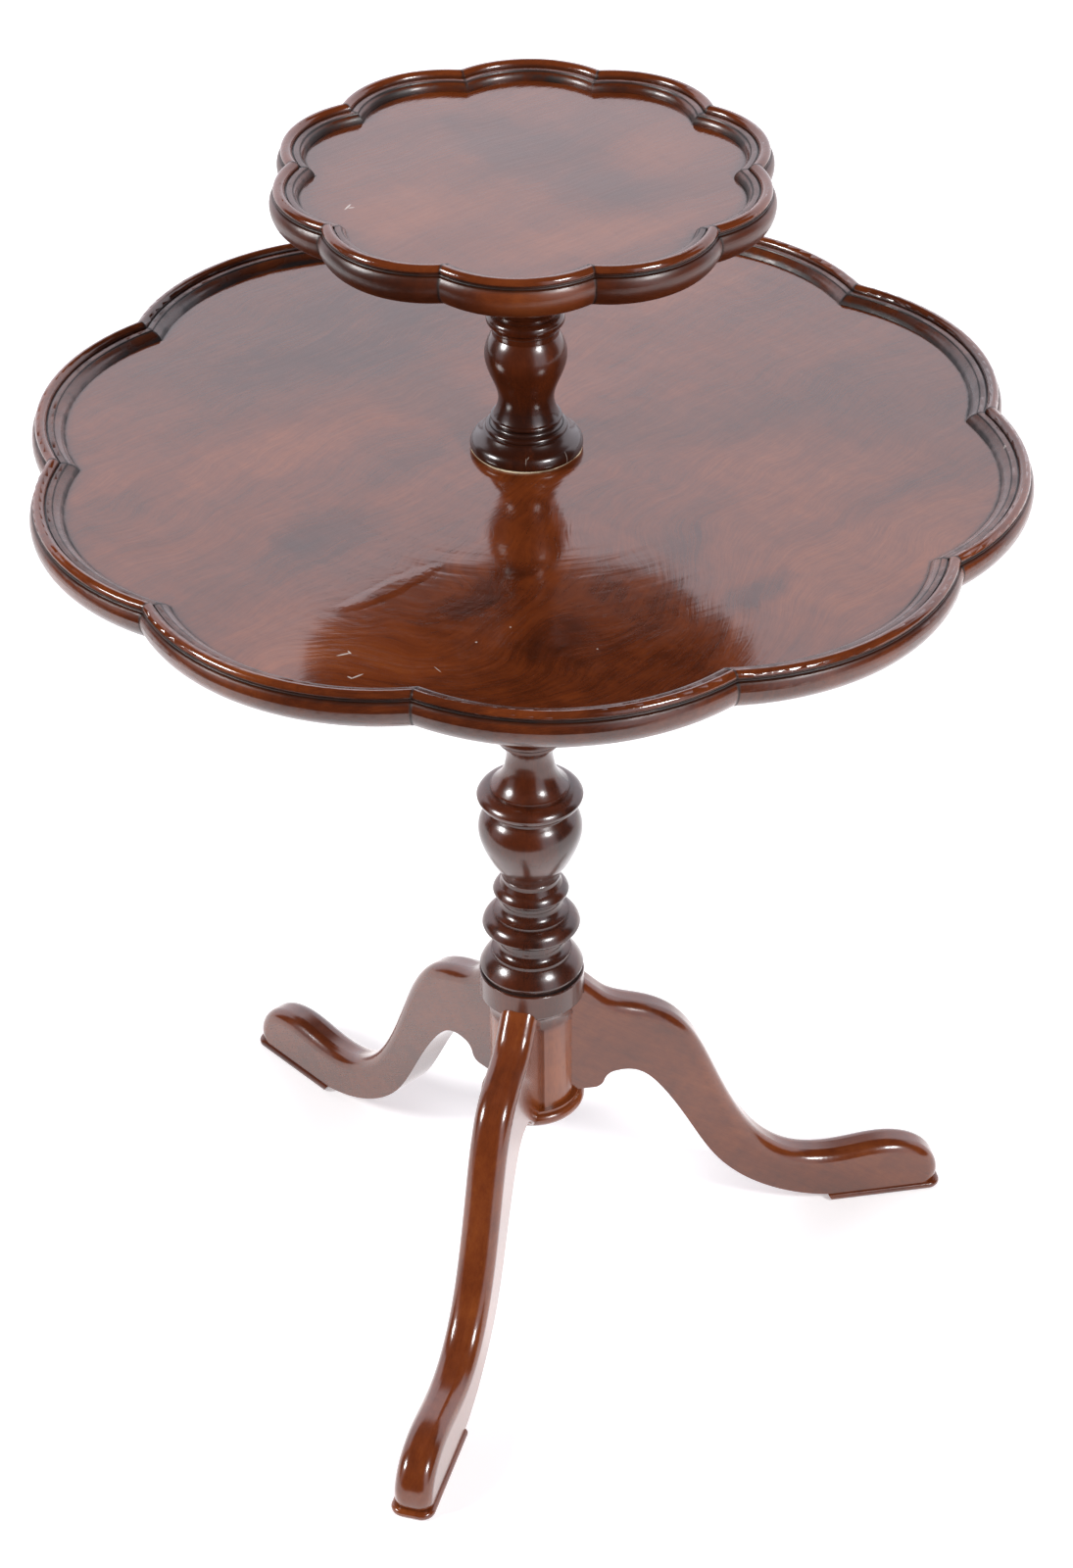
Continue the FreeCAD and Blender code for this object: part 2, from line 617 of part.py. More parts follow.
lower_screw_length = LOWER_BEARER_THICKNESS + SCREW_GRIP
lower_screw_circle = LOWER_BEARER_RADIUS - LOWER_SCREW_EDGE
lower_holes = raised(
    ring_of(make_screw_hole(lower_screw_length, lower_screw_circle), LOWER_SCREW_COUNT, 0), lower_shoulder)
nodes["lower_bearer"] = make_bearer(
    LOWER_BEARER_RADIUS, LOWER_BEARER_THICKNESS, lower_shoulder, LOWER_TENON_RADIUS + GLUE_GAP
).cut(Part.Compound(lower_holes))
nodes["lower_bearer_screws"] = Part.Compound(raised(
    ring_of(make_screw(lower_screw_length, lower_screw_circle), LOWER_SCREW_COUNT, 0), lower_shoulder))
tenon_hole = cylinder(LOWER_TENON_RADIUS + GLUE_GAP, lower_underside, LOWER_DISH_HEIGHT)
nodes["lower_tray"] = make_tray(
    LOWER_TRAY_RADIUS, LOWER_LOBE_RADIUS, LOWER_TRAY_TURN, LOWER_DISH_INSET, LOWER_DISH_DEPTH,
    LOWER_DISH_HEIGHT).cut(Part.Compound([tenon_hole] + lower_holes))

nodes["threaded_insert"] = cylinder(INSERT_RADIUS, insert_top - INSERT_LENGTH, insert_top).cut(
    cylinder(STUD_RADIUS + THREAD_CLEARANCE, insert_top - INSERT_LENGTH, insert_top))
nodes["joining_stud"] = cylinder(STUD_RADIUS, stud_bottom, stud_top)
nodes["seat_washer"] = cylinder(WASHER_RADIUS, LOWER_DISH_HEIGHT, foot_bottom).cut(
    cylinder(WASHER_BORE_RADIUS, LOWER_DISH_HEIGHT, foot_bottom))

nodes["upper_pillar"] = make_upper_pillar()
nodes["upper_tenon_wedge"] = tenon_wedge()
upper_screw_length = UPPER_BEARER_THICKNESS + SCREW_GRIP
upper_screw_circle = UPPER_BEARER_RADIUS - UPPER_SCREW_EDGE
upper_holes = raised(
    ring_of(make_screw_hole(upper_screw_length, upper_screw_circle), UPPER_SCREW_COUNT, 0), upper_shoulder)
nodes["upper_bearer"] = make_bearer(
    UPPER_BEARER_RADIUS, UPPER_BEARER_THICKNESS, upper_shoulder, UPPER_TENON_RADIUS + GLUE_GAP
).cut(Part.Compound(upper_holes))
nodes["upper_bearer_screws"] = Part.Compound(raised(
    ring_of(make_screw(upper_screw_length, upper_screw_circle), UPPER_SCREW_COUNT, 0), upper_shoulder))
nodes["upper_tray"] = make_tray(
    UPPER_TRAY_RADIUS, UPPER_LOBE_RADIUS, UPPER_TRAY_TURN, UPPER_DISH_INSET, UPPER_DISH_DEPTH,
    upper_dish_height).cut(Part.Compound(upper_holes))

os.makedirs("parts", exist_ok=True)
for name, shape in nodes.items():
    shape.exportStep("parts/" + name + ".step")
    box = shape.BoundBox
    print("%-22s solids %d valid %s volume %.0f z %.1f to %.1f"
          % (name, len(shape.Solids), shape.isValid(), shape.Volume, box.ZMin, box.ZMax))
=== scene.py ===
import math

import bmesh
import bpy
from mathutils import Matrix, Vector


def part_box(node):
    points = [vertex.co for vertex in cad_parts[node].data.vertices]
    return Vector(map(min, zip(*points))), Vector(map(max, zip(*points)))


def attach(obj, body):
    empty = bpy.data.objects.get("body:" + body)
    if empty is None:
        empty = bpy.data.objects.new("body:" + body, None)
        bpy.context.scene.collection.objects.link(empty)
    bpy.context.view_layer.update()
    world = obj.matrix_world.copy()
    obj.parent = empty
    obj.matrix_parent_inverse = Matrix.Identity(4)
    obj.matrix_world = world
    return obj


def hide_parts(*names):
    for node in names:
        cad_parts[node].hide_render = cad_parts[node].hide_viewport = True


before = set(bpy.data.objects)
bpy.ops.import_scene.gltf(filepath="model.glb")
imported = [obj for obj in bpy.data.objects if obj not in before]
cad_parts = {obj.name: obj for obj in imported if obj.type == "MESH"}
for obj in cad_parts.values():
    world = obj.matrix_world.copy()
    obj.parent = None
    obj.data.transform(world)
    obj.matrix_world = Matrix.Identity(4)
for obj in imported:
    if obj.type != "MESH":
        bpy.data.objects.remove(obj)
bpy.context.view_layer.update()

# --- studio ------------------------------------------------------------------
# A long lens looks down at the table. Two round soft lamps stand in front, left
# and right; a white floor runs back to a white wall, and the room in front is dark.

CAMERA_PLACE = (0.0, -1.9137, 1.7347)
CAMERA_PITCH = -35.327
CAMERA_YAW = 0.126
CAMERA_ROLL = -0.484
CAMERA_LENS = 83.88
CAMERA_SENSOR = 36.0
CAMERA_NEAR = 0.05              # nothing nearer than this is seen

camera = bpy.data.objects.new("camera", bpy.data.cameras.new("camera"))
camera.data.lens = CAMERA_LENS
camera.data.sensor_width = CAMERA_SENSOR
camera.data.clip_start = CAMERA_NEAR
camera.matrix_world = (
    Matrix.Translation(CAMERA_PLACE)
    @ Matrix.Rotation(math.radians(-CAMERA_YAW), 4, "Z")
    @ Matrix.Rotation(math.radians(90.0 + CAMERA_PITCH), 4, "X")
    @ Matrix.Rotation(math.radians(CAMERA_ROLL), 4, "Z")
)
bpy.context.scene.collection.objects.link(camera)
bpy.context.scene.camera = camera
bpy.context.scene.view_settings.view_transform = "Standard"

LAMP_TARGET = Vector((0.0, 0.0, 0.45))
LAMP_WIDTH = 0.78
LAMPS = {                       # where each lamp stands, and its power in watts
    "left_lamp": ((-2.37, -0.60, 1.85), 62.0),
    "right_lamp": ((1.95, -2.00, 2.40), 75.0),
}

for name, (place, power) in LAMPS.items():
    lamp = bpy.data.lights.new(name, "AREA")
    lamp.shape = "DISK"
    lamp.size = LAMP_WIDTH
    lamp.energy = power
    stand = bpy.data.objects.new(name, lamp)
    stand.matrix_world = (
        Matrix.Translation(place)
        @ (LAMP_TARGET - Vector(place)).to_track_quat("-Z", "Y").to_matrix().to_4x4()
    )
    stand.visible_camera = False
    bpy.context.scene.collection.objects.link(stand)


class Wire:
    """One value in a node tree. Arithmetic on wires adds Math nodes."""

    def __init__(self, tree, socket=None):
        self.tree = tree
        self.socket = socket

    def node(self, kind, settings, values, output=0):
        """Adds a node, sets it up, fills its inputs and gives back one of its outputs."""
        made = self.tree.nodes.new(kind)
        for name, setting in settings.items():
            if name == "stops":
                ramp = made.color_ramp
                while len(ramp.elements) < len(setting):
                    ramp.elements.new(1.0)
                for element, (position, colour) in zip(ramp.elements, setting):
                    element.position = position
                    element.color = (*colour, 1.0)
            else:
                setattr(made, name, setting)
        for key, value in values.items():
            if isinstance(value, Wire):
                self.tree.links.new(value.socket, made.inputs[key])
            else:
                made.inputs[key].default_value = value
        return Wire(self.tree, made.outputs[output])

    def feeds(self, socket):
        """Links this value to a socket."""
        self.tree.links.new(self.socket, socket)

    def calc(self, operation, *others):
        """A Math node whose first value is this one."""
        return self.node(
            "ShaderNodeMath", {"operation": operation}, dict(enumerate((self, *others))))

    def __add__(self, other):
        return self.calc("ADD", other)

    __radd__ = __add__

    def __sub__(self, other):
        return self.calc("SUBTRACT", other)

    def __rsub__(self, other):
        return self.node("ShaderNodeMath", {"operation": "SUBTRACT"}, {0: other, 1: self})

    def __mul__(self, other):
        return self.calc("MULTIPLY", other)

    __rmul__ = __mul__

    def __truediv__(self, other):
        return self.calc("DIVIDE", other)

    def __abs__(self):
        return self.calc("ABSOLUTE")

    def rise(self, low, high):
        """0 below low, 1 above high, smooth between."""
        values = {"Value": self, "From Min": low, "From Max": high}
        return self.node("ShaderNodeMapRange", {"interpolation_type": "SMOOTHSTEP"}, values)

    def line(self, centre, half):
        """1 at centre, fading to 0 at a distance of half to each side."""
        return 1.0 - abs(self - centre).rise(0.0, half)

    def axes(self):
        """The x, y and z of a vector."""
        return [self.node("ShaderNodeSeparateXYZ", {}, {0: self}, axis) for axis in range(3)]

    def length(self):
        """How long a vector is."""
        return self.node("ShaderNodeVectorMath", {"operation": "LENGTH"}, {0: self}, 1)

    def scaled(self, x, y, z):
        """A vector with each of its axes multiplied."""
        return self.node(
            "ShaderNodeVectorMath", {"operation": "MULTIPLY"}, {0: self, 1: (x, y, z)})

    def turned(self, y=0.0, z=0.0, shift=(0.0, 0.0, 0.0)):
        """A vector turned by degrees about y and z, and then shifted."""
        turn = (0.0, math.radians(y), math.radians(z))
        values = {"Vector": self, "Rotation": turn, "Location": shift}
        return self.node("ShaderNodeMapping", {}, values)

    def noise(self, detail, roughness):
        """Smooth noise from 0 to 1 that changes over about one unit of this vector."""
        values = {"Vector": self, "Scale": 1.0, "Detail": detail, "Roughness": roughness}
        return self.node("ShaderNodeTexNoise", {}, values)

    def ramp(self, stops):
        """A colour for each value, given as (value, colour) pairs."""
        return self.node("ShaderNodeValToRGB", {"stops": stops}, {"Fac": self})

    def between(self, low, high):
        """The colour low where this value is 0, and high where it is 1."""
        return self.node("ShaderNodeMix", {"data_type": "RGBA"}, {0: self, 6: low, 7: high}, 2)

    def mixed(self, other, share):
        """This colour with a share of another one."""
        return self.node("ShaderNodeMix", {"data_type": "RGBA"}, {0: share, 6: self, 7: other}, 2)


BLACK = (0.0, 0.0, 0.0, 1.0)
WHITE = (1.0, 1.0, 1.0, 1.0)
WALL = (15.0, 152.0, -30.0, 42.0, 5.0)      # left, right, bottom, top, soft edge, in degrees
FRONT_PANEL = (-66.0, -34.0, -12.0, 44.0, 6.0)
SIDE_PANEL = (-200.0, -155.0, -5.0, 40.0, 5.0)
WALL_LIGHT = 1.75
WALL_LIGHT_HEIGHT = 25.0        # the elevation at which the wall has that light
WALL_LIGHT_GAIN = 0.008         # and how much more it has for each degree above
FRONT_PANEL_LIGHT = 1.6
SIDE_PANEL_LIGHT = 0.8
ROOM_LIGHT = 0.035
WALL_TINT = (0.99, 0.97, 1.06, 1.0)

world = bpy.data.worlds.new("studio")
world.use_nodes = True
bpy.context.scene.world = world
sky = Wire(world.node_tree).node("ShaderNodeTexCoord", {}, {}, "Generated")
sky_x, sky_y, sky_z = sky.axes()
azimuth = sky_y.calc("ARCTAN2", sky_x) * (180.0 / math.pi)
elevation = sky_z.calc("ARCSINE") * (180.0 / math.pi)


def pane(left, right, bottom, top, soft):
    """1 inside a window of the surroundings, in degrees, with soft edges."""
    across = azimuth.rise(left - soft, left + soft)
    across = across * (1.0 - azimuth.rise(right - soft, right + soft))
    upward = elevation.rise(bottom - soft, bottom + soft)
    return across * upward * (1.0 - elevation.rise(top - soft, top + soft))


surroundings = pane(*WALL) * (WALL_LIGHT + (elevation - WALL_LIGHT_HEIGHT) * WALL_LIGHT_GAIN)
surroundings = surroundings + pane(*FRONT_PANEL) * FRONT_PANEL_LIGHT
surroundings = surroundings + pane(*SIDE_PANEL) * SIDE_PANEL_LIGHT + ROOM_LIGHT
camera_ray = sky.node("ShaderNodeLightPath", {}, {}, "Is Camera Ray")
background = world.node_tree.nodes["Background"]
(surroundings + camera_ray * (1.0 - surroundings)).feeds(background.inputs["Strength"])
camera_ray.between(WALL_TINT, WHITE).feeds(background.inputs["Color"])

MM = 1000.0                     # millimetres in a metre


def open_material(name):
    """A new material, its shader, and the place on its piece in millimetres."""
    material = bpy.data.materials.new(name)
    material.use_nodes = True
    place = Wire(material.node_tree).node("ShaderNodeTexCoord", {}, {}, "Object")
    return material, material.node_tree.nodes["Principled BSDF"], place.scaled(MM, MM, MM)


FLOOR_REACH = 4.5
FLOOR_FRONT = 0.92              # from the table's axis to the sheet's front edge
FLOOR_TURN = -27.0
FLOOR_DROP = 0.0002
FLOOR_WHITE = (0.88, 0.88, 0.88, 1.0)
FLOOR_GLOW = (1.0, 0.985, 1.0, 1.0)
FLOOR_ROUGHNESS = 0.9
FLOOR_LIFT = 0.42               # light added for the camera, so that the lit floor is white
FLOOR_FAR_LIFT = 0.58           # more of it where the lamps no longer reach,
FLOOR_FAR = (1100.0, 2400.0)    # which starts and is complete this far from the table's axis
FLOOR_MIRRORED = 1.0            # light added for polished surfaces, which show the floor brighter
FLOOR_LEFT_LOSS = 0.28          # but less so on the left,
FLOOR_LEFT = (-350.0, 50.0)     # all of it and none of it at these places

bpy.ops.object.select_all(action="DESELECT")
bpy.ops.mesh.primitive_plane_add(
    size=2 * FLOOR_REACH, location=(0.0, FLOOR_REACH - FLOOR_FRONT, -FLOOR_DROP))
floor = bpy.context.object
floor.name = "floor"
bpy.ops.object.transform_apply(location=True, rotation=False, scale=False)
floor.rotation_euler.z = math.radians(FLOOR_TURN)
bpy.ops.object.transform_apply(location=False, rotation=True, scale=False)
paper, surface, place = open_material("white_paper")
surface.inputs["Base Color"].default_value = FLOOR_WHITE
surface.inputs["Roughness"].default_value = FLOOR_ROUGHNESS
surface.inputs["Specular IOR Level"].default_value = 0.0
surface.inputs["Emission Strength"].default_value = 1.0
camera_ray = place.node("ShaderNodeLightPath", {}, {}, "Is Camera Ray")
glossy_ray = place.node("ShaderNodeLightPath", {}, {}, "Is Glossy Ray")
mirrored = FLOOR_MIRRORED - (1.0 - place.axes()[0].rise(*FLOOR_LEFT)) * FLOOR_LEFT_LOSS
lift = camera_ray * (FLOOR_LIFT + place.length().rise(*FLOOR_FAR) * FLOOR_FAR_LIFT)
glow = (lift + glossy_ray * mirrored).between(BLACK, FLOOR_GLOW)
glow.feeds(surface.inputs["Emission Color"])
floor.data.materials.append(paper)

# --- lower tray --------------------------------------------------------------
# One wide mahogany board with a crotch figure near its front edge, dished and
# moulded round a lobed rim, stained red-brown and French polished.

DARK_WOOD = (0.024, 0.0060, 0.0028)
BROWN_WOOD = (0.080, 0.0165, 0.0048)
RED_WOOD = (0.142, 0.0300, 0.0070)
LIGHT_WOOD = (0.240, 0.0600, 0.0130)
WOOD_STOPS = [(0.0, DARK_WOOD), (0.35, BROWN_WOOD), (0.62, RED_WOOD), (1.0, LIGHT_WOOD)]
# the colour of dark wax, also laid as painted shade in quirks, corners and joints
WAX_AND_SHADE_COLOUR = (0.0055, 0.0030, 0.0022, 1.0)
CHIPPED = (0.62, 0.56, 0.50, 1.0)

# Each figure of the wood has its changes per millimetre along and across the
# grain, the detail and roughness of its noise, and how far it moves the tone.
CLOUDS = ((0.008, 0.022, 0.022), 3.0, 0.55, 0.90)
STREAKS = ((0.012, 0.16, 0.16), 3.0, 0.6, 0.40)
FINE_STREAKS = ((0.045, 0.7, 0.7), 3.0, 0.65, 0.42)
CURL = ((0.10, 0.018, 0.018), 1.0, 0.5, 0.20)
MOTTLE = ((0.11, 0.16, 0.16), 4.0, 0.65)
VESSELS = (0.16, 2.6, 2.6)
VESSEL_EDGE = (0.62, 0.72)      # of the noise, between which a vessel opens
VESSEL_SHADE = 0.3

POLISH_IOR = 1.56
SKIN_IOR_LOSS = 0.25            # the stain mirrors less under a full clear coat
SKIN_ROUGHNESS = 0.04           # of the clear coat
SKIN_DULLNESS = 0.25            # and what a duller polish adds to it
HAZE = ((0.02, 0.03, 0.03), 3.0, 0.6, 0.05)
GRIME_DULLNESS = 0.4
WORN_DULLNESS = 0.22
DRIFT = (0.016, 0.02, 0.02)     # slow swelling of the surface
RIPPLE = (0.025, 0.33, 0.33)    # quick swelling across the grain
RIPPLE_SHARE = 0.14
RIPPLE_HEIGHT = 0.000008        # in metres, where there is no other swelling
VESSEL_DEPTH = 0.000006


def varied(place, fineness, detail, roughness, amount):
    """Noise about 0, up to half the amount each way."""
    return (place.scaled(*fineness).noise(detail, roughness) - 0.5) * amount


def wood_tone(grain, cloud=1.0, streak=1.0, mottle=0.0):
    """Tone from 0, dark, to 1, light. The grain runs along the vector's x."""
    streaks = varied(grain, *STREAKS) + varied(grain, *FINE_STREAKS)
    tone = varied(grain, *CLOUDS) * cloud + streaks * streak + varied(grain, *CURL)
    if mottle:
        tone = tone + varied(grain, *MOTTLE, mottle)
    return tone + 0.5


def pores(grain):
    """Short dark vessels along the grain."""
    return grain.scaled(*VESSELS).noise(1.0, 0.4).rise(*VESSEL_EDGE)


def polished(surface, tone, grain, waxed_and_shaded,
             gloss=0.10, wave=0.0005, skin=0.2, worn=0.0, relief=0.0, chips=0.0):
    """Stained wood under a gloss polish. A low gloss value mirrors sharply; the
    wave, in metres, is how far the surface swells and dips; the skin is how
    much of the last clear coat is left; worn is where the polish is dull;
    relief, in metres, is polish laid thicker; and chips are where it is gone."""
    vessels = pores(grain)
    colour = tone.ramp(WOOD_STOPS).mixed((*DARK_WOOD, 1.0), vessels * VESSEL_SHADE)
    # dark wax and painted shade go into the colour where the corner mask is high
    colour.mixed(WAX_AND_SHADE_COLOUR, waxed_and_shaded).mixed(CHIPPED, chips).feeds(surface.inputs["Base Color"])
    roughness = gloss + varied(grain, *HAZE) + waxed_and_shaded * GRIME_DULLNESS + worn * WORN_DULLNESS
    roughness.feeds(surface.inputs["Roughness"])
    ripple = grain.scaled(*RIPPLE).noise(2.0, 0.6) * (wave * RIPPLE_SHARE + RIPPLE_HEIGHT)
    height = grain.scaled(*DRIFT).noise(1.0, 0.3) * wave + ripple
    height = height - vessels * VESSEL_DEPTH + relief
    bump = grain.node("ShaderNodeBump", {}, {"Strength": 1.0, "Distance": 1.0, "Height": height})
    bump.feeds(surface.inputs["Normal"])
    surface.inputs["IOR"].default_value = POLISH_IOR - SKIN_IOR_LOSS * skin
    surface.inputs["Coat Roughness"].default_value = SKIN_ROUGHNESS + SKIN_DULLNESS * gloss
    ((1.0 - waxed_and_shaded) * (1.0 - worn) * skin).feeds(surface.inputs["Coat Weight"])


def finish(node, material):
    """Gives all of a node the same material."""
    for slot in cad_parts[node].material_slots:
        slot.material = material


ALL_DEPTHS = 1e6                # so long that the height of a point does not count


def oval(place, x, y, long, wide, turn):
    """0 at a point and 1 on an oval round it, as seen from above."""
    laid = place.node(
        "ShaderNodeMapping", {"vector_type": "TEXTURE"},
        {"Vector": place, "Location": (x, y, 0.0), "Rotation": (0.0, 0.0, math.radians(turn)),
         "Scale": (long, wide, ALL_DEPTHS)})
    return laid.length()


def smudge(place, x, y, long, wide, turn):
    """1 at a point, fading out over an oval, with a ragged edge."""
    ragged = varied(place, (0.05, 0.05, 0.05), 3.0, 0.6, 0.9)
    return 1.0 - (oval(place, x, y, long, wide, turn) + ragged).rise(0.35, 1.0)


def smudged(place, tone, smudges):
    """Tone with darker patches, or lighter ones where the amount is below 0."""
    for *patch, amount in smudges:
        tone = tone - smudge(place, *patch) * amount
    return tone


def nicks(place, ovals):
    """1 inside thin short ovals, such as scratches."""
    return sum(1.0 - oval(place, *scratch).rise(0.6, 1.0) for scratch in ovals)


def vector(x, y, z):
    """A vector of three values."""
    return x.node("ShaderNodeCombineXYZ", {}, {0: x, 1: y, 2: z})


RUB_TURN = 2.2                  # how fast the polish changes round the pillar
RUB_REACH = 0.11                # and for each millimetre away from it


def rubbed(place):
    """Height of the polish left by a pad that went round and round the pillar."""
    x, y, z = place.axes()
    reach = (x * x + y * y).calc("SQRT")
    return vector(x / reach * RUB_TURN, y / reach * RUB_TURN, reach * RUB_REACH).noise(2.0, 0.5)


# Insets are how far a part of the rim lies in from the edge, and depths how far
# down from the crest. A line of dark wax and painted shade has its middle and its
# half width.
LOBES = 10
QUIRK_INSET = (9.8, 1.2)        # the groove between the bead and the hollow
STEP_INSET = (14.0, 0.9)
STEP_WAX_AND_SHADE = 0.8
RIM_FOOT_WIDTH = 2.2            # round the foot of the rim, where the dish starts
RIM_FOOT_WAX_AND_SHADE = 0.75
UNDER_BEAD_DEPTH = (5.0, 2.8)
UNDER_BEAD_INSET = (3.6, 4.6)   # all of it, and none of it
MITRE_WIDTH = 1.6
MITRE_WAX_AND_SHADE = 0.9
MITRE_FADE = 3.0                # before the dish
HOLLOW_INSET = (10.0, 11.5)
HOLLOW_END = (-0.5, 1.5)        # from the start of the dish
HOLLOW_WAX_AND_SHADE = 0.55
MOST_WAX_AND_SHADE = 0.95
OUTSIDE_DEPTH = (5.5, 7.5)
OUTSIDE_INSET = (5.0, 9.0)
RIM_SHARES = (1.45 / 3.0, 1.35 / 3.0)       # of a lobe's radius, where the rim starts


def rim_wax_and_shade(place, radius, lobe_radius, turn, dish_inset, crest):
    """Dark waxy dirt and painted shade in the quirk, at the step, in the hollow, under the
    bead, round the foot of the rim and in the mitres between lobes; and the outside of the rim."""
    x, y, z = place.axes()
    half = math.pi / LOBES
    angle = y.calc("ARCTAN2", x) - (math.radians(turn) + half)
    folded = angle.calc("WRAP", half, -half)
    reach = (x * x + y * y).calc("SQRT")
    beside = reach * folded.calc("SINE")
    ahead = reach * folded.calc("COSINE") - (radius - lobe_radius)
    inset = lobe_radius - (ahead * ahead + beside * beside).calc("SQRT")
    down = crest - z
    patchy = place.scaled(0.05, 0.05, 0.05).noise(3.0, 0.6).rise(0.35, 0.65) * 0.5 + 0.5
    mitre = (reach * (half - abs(folded)).calc("SINE")).line(0.0, MITRE_WIDTH)
    mitre = mitre * (1.0 - inset.rise(dish_inset - MITRE_FADE, dish_inset))
    under_bead = down.line(*UNDER_BEAD_DEPTH) * (1.0 - inset.rise(*UNDER_BEAD_INSET))
    hollow_end = inset.rise(*(dish_inset + end for end in HOLLOW_END))
    hollow = inset.rise(*HOLLOW_INSET) * (1.0 - hollow_end)
    # painted shade and dark wax along the quirk, step, rim foot, under the bead, mitres and
    # hollow
    darkened_lines = inset.line(*QUIRK_INSET) + inset.line(*STEP_INSET) * STEP_WAX_AND_SHADE
    darkened_lines = darkened_lines + inset.line(dish_inset, RIM_FOOT_WIDTH) * RIM_FOOT_WAX_AND_SHADE * patchy
    darkened_lines = darkened_lines + under_bead + mitre * MITRE_WAX_AND_SHADE + hollow * patchy * HOLLOW_WAX_AND_SHADE
    rim = reach.rise(*(radius - share * lobe_radius for share in RIM_SHARES))
    outside = down.rise(*OUTSIDE_DEPTH) * (1.0 - inset.rise(*OUTSIDE_INSET)) * rim
    return darkened_lines.calc("MINIMUM", MOST_WAX_AND_SHADE) * (patchy * 0.4 + 0.6) * rim, outside


LOWER_TRAY_RADIUS = 305.0
LOWER_LOBE_RADIUS = 150.0
LOWER_TRAY_TURN = -102.8
LOWER_DISH_INSET = 20.0
LOWER_GRAIN_TURN = -45.0
LOWER_WARP = ((0.009, 0.009, 0.009), 2.0, 0.5, 60.0)
CROTCH = (15.0, -215.0)         # where the grain of two branches met
CROTCH_FADE = (26.25, 168.0)    # all of it within, and none of it beyond
CROTCH_RINGS = 0.34             # how far the grain turns into rings round it
CROTCH_LOSS = 0.40              # and stops running straight
LOWER_LIGHTENING = 0.07
# the outside of the rim gets painted shade, and a duller polish
LOWER_OUTSIDE_PAINTED_SHADE = 0.12
LOWER_OUTSIDE_WEAR = 0.6
LOWER_SMUDGES = [               # x, y, length, width, turn, and darkening
    (-115, -100, 52, 34, 45, 0.26), (-22, -162, 55, 20, 45, 0.20), (15, -214, 34, 22, 45, 0.15),
    (10, -215, 110, 78, 45, 0.20), (60, -262, 90, 30, 45, 0.14), (70, -130, 60, 20, 45, 0.10),
    (2, -125, 45, 26, 45, 0.12), (0, -82, 40, 24, 45, 0.14), (128, -170, 42, 16, 45, 0.32),
    (-72, -24, 46, 22, 45, 0.12), (-110, 150, 130, 70, 45, 0.16), (-235, -60, 60, 25, 45, 0.12),
    (200, -70, 90, 14, 45, 0.12), (190, -130, 120, 60, 45, -0.14),
    (-150, -220, 90, 50, 45, -0.12), (-120, 20, 130, 35, 45, -0.12),
    (160, -20, 80, 45, 45, -0.12), (-80, -55, 60, 30, 45, -0.06)]
LOWER_SCRATCHES = [             # x, y, length, width and turn
    (-102, -227, 5.0, 0.8, 20), (-99, -225, 2.2, 0.6, -60), (-94, -249, 4.8, 0.7, 35),
    (-98, -250, 2.0, 0.6, -40), (-50, -243, 4.0, 0.25, -55), (-29, -216, 0.8, 0.8, 0),
    (-10, -201, 0.7, 0.7, 0), (38, -224, 0.6, 0.6, 0), (182, -246, 2.2, 0.9, 30),
    (286, -16, 1.6, 1.0, 80)]
LOWER_SCRATCH_SHARE = 0.7
LOWER_RUB_HEIGHT = 0.00013      # in metres
LOWER_RUN = (-80, -160, 42, 9, 40)          # a run in the polish
LOWER_RUN_HEIGHT = 0.00034

lower_tray_wood, surface, place = open_material("lower_tray_wood")
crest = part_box("lower_tray")[1].z * MM
along, across, depth = place.turned(z=LOWER_GRAIN_TURN).axes()
from_crotch = place.node(
    "ShaderNodeVectorMath", {"operation": "DISTANCE"}, {0: place, 1: (*CROTCH, crest)}, 1)
swirl = 1.0 - from_crotch.rise(*CROTCH_FADE)
rings = swirl * (from_crotch * CROTCH_RINGS - across * CROTCH_LOSS)
grain = vector(along, across + varied(place, *LOWER_WARP) + rings, depth)
tone = wood_tone(grain, cloud=0.8, mottle=0.30) + LOWER_LIGHTENING
tone = smudged(place, tone, LOWER_SMUDGES)
# dark wax and painted shade in the rim's quirks, hollows and mitres
waxed_and_shaded, outside = rim_wax_and_shade(
    place, LOWER_TRAY_RADIUS, LOWER_LOBE_RADIUS, LOWER_TRAY_TURN, LOWER_DISH_INSET, crest)
# the outside of the rim is darkened with painted shade
polished(
    surface, tone - outside * LOWER_OUTSIDE_PAINTED_SHADE, grain, waxed_and_shaded,
    worn=outside * LOWER_OUTSIDE_WEAR,
    relief=rubbed(place) * LOWER_RUB_HEIGHT + smudge(place, *LOWER_RUN) * LOWER_RUN_HEIGHT,
    chips=nicks(place, LOWER_SCRATCHES) * LOWER_SCRATCH_SHARE)
finish("lower_tray", lower_tray_wood)

# --- upper tray --------------------------------------------------------------
# A smaller mahogany board, dished and worked to the same moulding, with its grain
# running the same way. The polish on the outside of its rim is duller, and that face
# is darkened with painted shade.

UPPER_TRAY_RADIUS = 148.7
UPPER_LOBE_RADIUS = 65.6
UPPER_TRAY_TURN = -109.9
UPPER_DISH_INSET = 16.8
UPPER_GRAIN_TURN = -38.0
UPPER_GRAIN_SHIFT = (370.0, 210.0, 0.0)     # another part of the board
UPPER_WARP = ((0.012, 0.012, 0.012), 2.0, 0.5, 30.0)
UPPER_LIGHTENING = 0.06
# painted shade on the outside of the rim
UPPER_OUTSIDE_PAINTED_SHADE = 0.22
UPPER_SMUDGES = [
    (15, 20, 120, 45, -50, 0.22), (-80, -45, 60, 35, 45, -0.18), (40, -75, 90, 30, 20, -0.18),
    (90, 20, 50, 40, 45, -0.12)]
